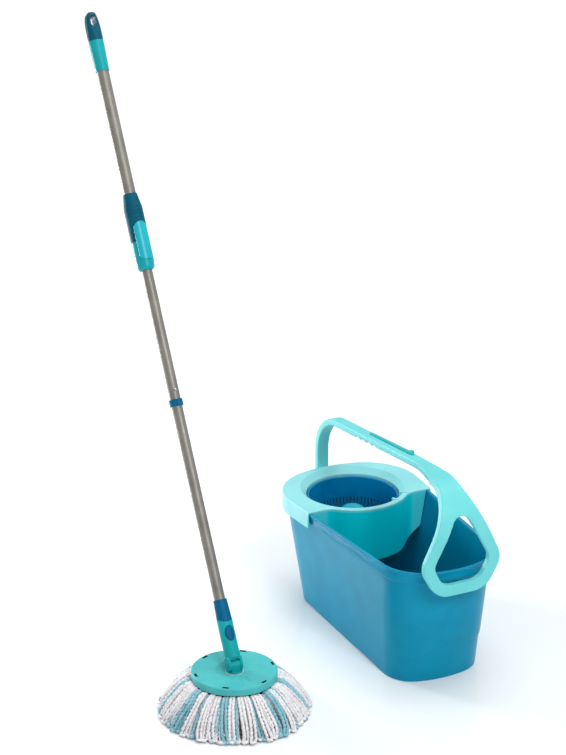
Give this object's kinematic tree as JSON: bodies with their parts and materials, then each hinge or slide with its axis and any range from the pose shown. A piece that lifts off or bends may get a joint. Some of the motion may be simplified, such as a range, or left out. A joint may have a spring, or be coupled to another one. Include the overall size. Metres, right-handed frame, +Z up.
{
  "type": "spin mop with bucket",
  "caption": "Spin mop with a telescopic two-part pole on a round fringed disc, beside its oblong bucket with a spin basket, a collar insert and a swinging bail.",
  "frame": {"origin": "middle of the bucket's base, on the floor", "axes": "+Z up; +X along the bucket from its basket end to its water end; the mop stands on the floor at -Y"},
  "size_m": [0.8226, 0.7456, 1.2686],
  "materials": {
    "tub_blue": "gloss",
    "collar_light": "satin",
    "bail_light": "satin",
    "rail_teal": "satin",
    "basket_blue": "gloss",
    "hub_light": "satin",
    "disc_teal": "satin",
    "hook_black": "matte",
    "strand_white": "matte",
    "socket_teal": "satin",
    "collar_blue": "satin",
    "tube_grey": "satin",
    "grip_dark": "matte",
    "grip_light": "satin",
    "cap_dark": "satin",
    "cap_light": "satin",
    "pin_steel": "polished",
    "spring_steel": "satin",
    "bush_white": "satin"
  },
  "bodies": {
    "bucket": {"bucket_tub": "tub_blue", "insert_frame": "collar_light", "basket_axle": "pin_steel", "basket_clip": "spring_steel"},
    "bail": {"bail_handle": "bail_light", "bail_rail": "rail_teal", "bail_pivots": "pin_steel"},
    "basket": {"spin_basket": "basket_blue", "basket_hub": "hub_light", "basket_bush": "bush_white"},
    "knuckle": {"swivel_knuckle": "socket_teal", "thrust_washer": "bush_white", "knuckle_clip": "spring_steel", "hinge_pin": "pin_steel"},
    "mop_head": {"mop_disc": "disc_teal", "fringe_ring": "hook_black", "fringe": "strand_white"},
    "lower_pole": {"socket_fork": "socket_teal", "pole_end_collar": "collar_blue", "release_spring": "spring_steel", "lower_tube": "tube_grey", "joint_ring": "collar_blue", "joint_sleeve": "spring_steel", "snap_spring": "spring_steel", "mid_tube": "tube_grey", "nut_cage": "bush_white", "cage_cap": "bush_white"},
    "release_catch": {"release_button": "collar_blue"},
    "snap_catch": {"snap_button": "pin_steel"},
    "nut": {"drive_nut": "bush_white"},
    "upper_pole": {"twisted_rod": "pin_steel", "rod_plug": "bush_white", "upper_tube": "tube_grey", "grip_lower": "grip_light", "grip_upper": "grip_dark", "grip_screws": "pin_steel", "guide_bush": "bush_white", "cap_sleeve": "cap_light", "hanging_eye": "cap_dark"},
    "slider": {"lock_slider": "grip_light", "lock_shoe": "bush_white"}
  },
  "joints": [
    {"name": "bail_swing", "type": "hinge", "parent": "bucket", "child": "bail", "pos_m": [0, 0, 0.228], "axis": [1, 0, 0], "range_deg": [-100, 100]},
    {"name": "basket_spin", "type": "hinge", "parent": "bucket", "child": "basket", "pos_m": [-0.15, 0, 0.19], "axis": [0, 0, 1], "continuous": true},
    {"name": "mop_lift", "type": "slide", "parent": "bucket", "child": "knuckle", "axis": [0, 0, 1], "range_m": [0, 0.3]},
    {"name": "disc_spin", "type": "hinge", "parent": "knuckle", "child": "mop_head", "pos_m": [0.182, -0.439, 0.078], "axis": [0, 0, 1], "continuous": true},
    {"name": "pole_tilt", "type": "hinge", "parent": "knuckle", "child": "lower_pole", "pos_m": [0.182, -0.439, 0.098], "axis": [0, 1, 0], "range_deg": [-35, 94]},
    {"name": "release_press", "type": "slide", "parent": "lower_pole", "child": "release_catch", "axis": [-0.8704, 0, -0.4924], "range_m": [0, 0.003], "stiffness_N_per_m": 900, "springref_m": -0.002, "deforming": ["release_spring"]},
    {"name": "snap_press", "type": "slide", "parent": "lower_pole", "child": "snap_catch", "axis": [-0.8704, 0, -0.4924], "range_m": [0, 0.0025], "stiffness_N_per_m": 900, "springref_m": -0.001, "deforming": ["snap_spring"]},
    {"name": "pump", "type": "slide", "parent": "lower_pole", "child": "upper_pole", "axis": [-0.4924, 0, 0.8704], "range_m": [-0.15, 0]},
    {"name": "nut_turn", "type": "hinge", "parent": "lower_pole", "child": "nut", "pos_m": [-0.26364, -0.439, 0.88567], "axis": [-0.4924, 0, 0.8704], "range_deg": [-5, 685]},
    {"name": "lock_slide", "type": "slide", "parent": "upper_pole", "child": "slider", "axis": [-0.4924, 0, 0.8704], "range_m": [0, 0.012]}
  ],
  "couplings": [
    {"joint": "nut_turn", "follows": "pump", "rad_per_m": -78.54}
  ]
}
